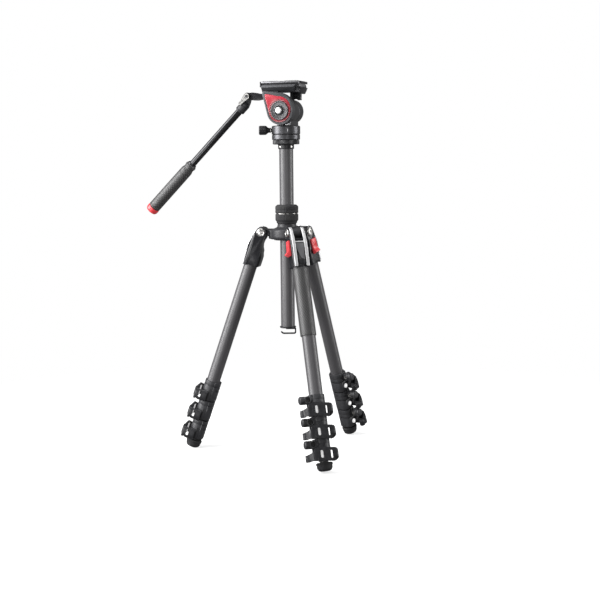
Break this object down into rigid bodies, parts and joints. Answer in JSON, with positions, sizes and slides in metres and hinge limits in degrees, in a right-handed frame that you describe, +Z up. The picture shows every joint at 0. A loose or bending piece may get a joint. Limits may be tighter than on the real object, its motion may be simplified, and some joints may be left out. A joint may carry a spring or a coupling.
{
  "type": "tripod with fluid head",
  "caption": "Travel tripod with three telescoping legs on flip locks, a sliding centre column and a fluid head with a pan bar and quick-release plate.",
  "frame": {"origin": "on the ground, under the centre of the whole tripod's box; the column axis stands at x = 0.0728, y = -0.0155 m", "axes": "+Z up along the centre column; +X from the pan bar towards the lens side of the head; the tilt axis runs along Y"},
  "size_m": [0.4704, 0.4087, 0.7474],
  "materials": {
    "carbon": "satin clear-coated carbon weave",
    "moulding": "fine-grained black moulding",
    "alloy": "dark grey satin anodised casting",
    "steel": "bright plated steel",
    "red": "coral red moulding",
    "rubber": "matt black rubber",
    "leather": "stitched embossed leather",
    "chrome": "black chrome tube"
  },
  "bodies": {
    "spider": {"spider": "alloy"},
    "left_leg": {"left_crown": "moulding", "left_hinge_bolt": "steel", "left_tube_1": "carbon", "left_lock_1": "moulding"},
    "left_angle_stop": {"left_angle_lock": "red"},
    "left_flip_1": {"left_lever_1": "moulding"},
    "left_leg_section_2": {"left_section_2": "carbon"},
    "left_flip_2": {"left_lever_2": "moulding"},
    "left_leg_section_3": {"left_section_3": "carbon"},
    "left_flip_3": {"left_lever_3": "moulding"},
    "left_leg_section_4": {"left_tube_4": "carbon", "left_foot": "rubber"},
    "front_leg": {"front_crown": "moulding", "front_hinge_bolt": "steel", "front_tube_1": "carbon", "front_lock_1": "moulding", "leg_grip": "leather"},
    "front_angle_stop": {"front_angle_lock": "red"},
    "front_flip_1": {"front_lever_1": "moulding"},
    "front_leg_section_2": {"front_section_2": "carbon"},
    "front_flip_2": {"front_lever_2": "moulding"},
    "front_leg_section_3": {"front_section_3": "carbon"},
    "front_flip_3": {"front_lever_3": "moulding"},
    "front_leg_section_4": {"front_tube_4": "carbon", "front_foot": "rubber"},
    "right_leg": {"right_crown": "moulding", "right_hinge_bolt": "steel", "right_tube_1": "carbon", "right_lock_1": "moulding"},
    "right_angle_stop": {"right_angle_lock": "red"},
    "right_flip_1": {"right_lever_1": "moulding"},
    "right_leg_section_2": {"right_section_2": "carbon"},
    "right_flip_2": {"right_lever_2": "moulding"},
    "right_leg_section_3": {"right_section_3": "carbon"},
    "right_flip_3": {"right_lever_3": "moulding"},
    "right_leg_section_4": {"right_tube_4": "carbon", "right_foot": "rubber"},
    "column": {"column_tube": "carbon", "column_top_plate": "alloy", "hook_cap": "moulding", "head_base": "alloy"},
    "hook": {"weight_hook": "moulding"},
    "sleeve_lock": {"sleeve_lock_ring": "rubber"},
    "column_lock": {"column_lock_collar": "rubber"},
    "pan": {"pan_housing": "alloy"},
    "pan_lock": {"pan_lock_knob": "moulding"},
    "tilt": {"tilt_frame": "alloy", "red_trim": "red", "bar_elbow": "moulding"},
    "dial": {"tilt_dial": "steel"},
    "button": {"tilt_button": "steel"},
    "plate": {"quick_release_plate": "alloy"},
    "screw": {"camera_screw": "steel"},
    "plate_lock": {"plate_lock_knob": "moulding"},
    "bar": {"bar_clamp": "moulding", "pan_bar": "chrome", "bar_grip": "leather", "grip_end_cap": "red"},
    "bar_lock": {"bar_lock_lever": "steel"}
  },
  "joints": [
    {"name": "left_leg_hinge", "type": "hinge", "parent": "spider", "child": "left_leg", "pos_m": [0.02319, -0.02493, 0.447], "axis": [-0.1867, 0.9824, 0], "range_deg": [-18.9, 125]},
    {"name": "left_angle_lock_pull", "type": "hinge", "parent": "left_leg", "child": "left_angle_stop", "pos_m": [0.01422, -0.00902, 0.42997], "axis": [0.9293, 0.1766, -0.3244], "range_deg": [0, 20], "stiffness_Nm_per_rad": 0.1, "springref_deg": -5.73},
    {"name": "left_lever_1_flip", "type": "hinge", "parent": "left_leg", "child": "left_flip_1", "pos_m": [-0.10342, -0.0154, 0.11481], "axis": [0.3187, 0.0606, 0.9459], "range_deg": [-100, 0]},
    {"name": "left_slide_1", "type": "slide", "parent": "left_leg", "child": "left_leg_section_2", "axis": [-0.3187, -0.0606, -0.9459], "range_m": [0, 0.25]},
    {"name": "left_lever_2_flip", "type": "hinge", "parent": "left_leg_section_2", "child": "left_flip_2", "pos_m": [-0.11696, -0.01797, 0.07461], "axis": [0.3187, 0.0606, 0.9459], "range_deg": [-100, 0]},
    {"name": "left_slide_2", "type": "slide", "parent": "left_leg_section_2", "child": "left_leg_section_3", "axis": [-0.3187, -0.0606, -0.9459], "range_m": [0, 0.25]},
    {"name": "left_lever_3_flip", "type": "hinge", "parent": "left_leg_section_3", "child": "left_flip_3", "pos_m": [-0.13051, -0.02055, 0.0344], "axis": [0.3187, 0.0606, 0.9459], "range_deg": [-100, 0]},
    {"name": "left_slide_3", "type": "slide", "parent": "left_leg_section_3", "child": "left_leg_section_4", "axis": [-0.3187, -0.0606, -0.9459], "range_m": [0, 0.25]},
    {"name": "front_leg_hinge", "type": "hinge", "parent": "spider", "child": "front_leg", "pos_m": [0.10577, -0.05375, 0.447], "axis": [-0.7575, -0.6529, 0], "range_deg": [-18.9, 153]},
    {"name": "front_angle_lock_pull", "type": "hinge", "parent": "front_leg", "child": "front_angle_stop", "pos_m": [0.09648, -0.06947, 0.42997], "axis": [-0.6176, 0.7165, -0.3244], "range_deg": [0, 20], "stiffness_Nm_per_rad": 0.1, "springref_deg": -5.73},
    {"name": "front_lever_1_flip", "type": "hinge", "parent": "front_leg", "child": "front_flip_1", "pos_m": [0.16082, -0.16816, 0.11481], "axis": [-0.2118, 0.2457, 0.9459], "range_deg": [-100, 0]},
    {"name": "front_slide_1", "type": "slide", "parent": "front_leg", "child": "front_leg_section_2", "axis": [0.2118, -0.2457, -0.9459], "range_m": [0, 0.25]},
    {"name": "front_lever_2_flip", "type": "hinge", "parent": "front_leg_section_2", "child": "front_flip_2", "pos_m": [0.16982, -0.1786, 0.07461], "axis": [-0.2118, 0.2457, 0.9459], "range_deg": [-100, 0]},
    {"name": "front_slide_2", "type": "slide", "parent": "front_leg_section_2", "child": "front_leg_section_3", "axis": [0.2118, -0.2457, -0.9459], "range_m": [0, 0.25]},
    {"name": "front_lever_3_flip", "type": "hinge", "parent": "front_leg_section_3", "child": "front_flip_3", "pos_m": [0.17882, -0.18905, 0.0344], "axis": [-0.2118, 0.2457, 0.9459], "range_deg": [-100, 0]},
    {"name": "front_slide_3", "type": "slide", "parent": "front_leg_section_3", "child": "front_leg_section_4", "axis": [0.2118, -0.2457, -0.9459], "range_m": [0, 0.25]},
    {"name": "right_leg_hinge", "type": "hinge", "parent": "spider", "child": "right_leg", "pos_m": [0.08944, 0.03218, 0.447], "axis": [0.9441, -0.3295, 0], "range_deg": [-18.9, 153]},
    {"name": "right_angle_lock_pull", "type": "hinge", "parent": "right_leg", "child": "right_angle_stop", "pos_m": [0.1077, 0.03199, 0.42997], "axis": [-0.3117, -0.8931, -0.3244], "range_deg": [0, 20], "stiffness_Nm_per_rad": 0.1, "springref_deg": -5.73},
    {"name": "right_lever_1_flip", "type": "hinge", "parent": "right_leg", "child": "right_flip_1", "pos_m": [0.161, 0.13706, 0.11481], "axis": [-0.1069, -0.3063, 0.9459], "range_deg": [-100, 0]},
    {"name": "right_slide_1", "type": "slide", "parent": "right_leg", "child": "right_leg_section_2", "axis": [0.1069, 0.3063, -0.9459], "range_m": [0, 0.25]},
    {"name": "right_lever_2_flip", "type": "hinge", "parent": "right_leg_section_2", "child": "right_flip_2", "pos_m": [0.16554, 0.15007, 0.07461], "axis": [-0.1069, -0.3063, 0.9459], "range_deg": [-100, 0]},
    {"name": "right_slide_2", "type": "slide", "parent": "right_leg_section_2", "child": "right_leg_section_3", "axis": [0.1069, 0.3063, -0.9459], "range_m": [0, 0.25]},
    {"name": "right_lever_3_flip", "type": "hinge", "parent": "right_leg_section_3", "child": "right_flip_3", "pos_m": [0.17008, 0.16309, 0.0344], "axis": [-0.1069, -0.3063, 0.9459], "range_deg": [-100, 0]},
    {"name": "right_slide_3", "type": "slide", "parent": "right_leg_section_3", "child": "right_leg_section_4", "axis": [0.1069, 0.3063, -0.9459], "range_m": [0, 0.25]},
    {"name": "column_slide", "type": "slide", "parent": "spider", "child": "column", "axis": [0, 0, 1], "range_m": [-0.11, 0.165]},
    {"name": "hook_swivel", "type": "hinge", "parent": "column", "child": "hook", "pos_m": [0.0728, -0.0155, 0.25], "axis": [0, 0, 1], "range_deg": [-170, 170]},
    {"name": "sleeve_lock_twist", "type": "hinge", "parent": "spider", "child": "sleeve_lock", "pos_m": [0.0728, -0.0155, 0.474], "axis": [0, 0, 1], "range_deg": [0, 90]},
    {"name": "column_lock_twist", "type": "hinge", "parent": "spider", "child": "column_lock", "pos_m": [0.0728, -0.0155, 0.493], "axis": [0, 0, 1], "range_deg": [0, 90]},
    {"name": "head_pan", "type": "hinge", "parent": "column", "child": "pan", "pos_m": [0.0728, -0.0155, 0.65], "axis": [0, 0, 1], "continuous": true},
    {"name": "pan_lock_turn", "type": "hinge", "parent": "pan", "child": "pan_lock", "pos_m": [0.03558, -0.03016, 0.65], "axis": [-0.9304, -0.3665, 0], "range_deg": [0, 180]},
    {"name": "head_tilt", "type": "hinge", "parent": "pan", "child": "tilt", "pos_m": [0.0728, -0.0155, 0.6875], "axis": [0, -1, 0], "range_deg": [-90, 30]},
    {"name": "tilt_dial_turn", "type": "hinge", "parent": "tilt", "child": "dial", "pos_m": [0.0728, -0.0505, 0.6875], "axis": [0, -1, 0], "range_deg": [0, 90]},
    {"name": "tilt_button_push", "type": "slide", "parent": "tilt", "child": "button", "axis": [0, 1, 0], "range_m": [0, 0.0012], "stiffness_N_per_m": 500, "springref_m": -0.0015},
    {"name": "plate_slide", "type": "slide", "parent": "tilt", "child": "plate", "axis": [1, 0, 0], "range_m": [-0.035, 0]},
    {"name": "camera_screw_turn", "type": "hinge", "parent": "plate", "child": "screw", "pos_m": [0.0728, -0.0155, 0.741], "axis": [0, 0, 1], "continuous": true},
    {"name": "plate_lock_turn", "type": "hinge", "parent": "tilt", "child": "plate_lock", "pos_m": [0.0778, 0.0145, 0.731], "axis": [0, 1, 0], "range_deg": [0, 180]},
    {"name": "bar_fold", "type": "hinge", "parent": "tilt", "child": "bar", "pos_m": [-0.0029, -0.0255, 0.7175], "axis": [0, 1, 0], "range_deg": [-15, 120]},
    {"name": "bar_lock_turn", "type": "hinge", "parent": "bar", "child": "bar_lock", "pos_m": [-0.0029, -0.0255, 0.7175], "axis": [0, 1, 0], "range_deg": [0, 60]}
  ]
}
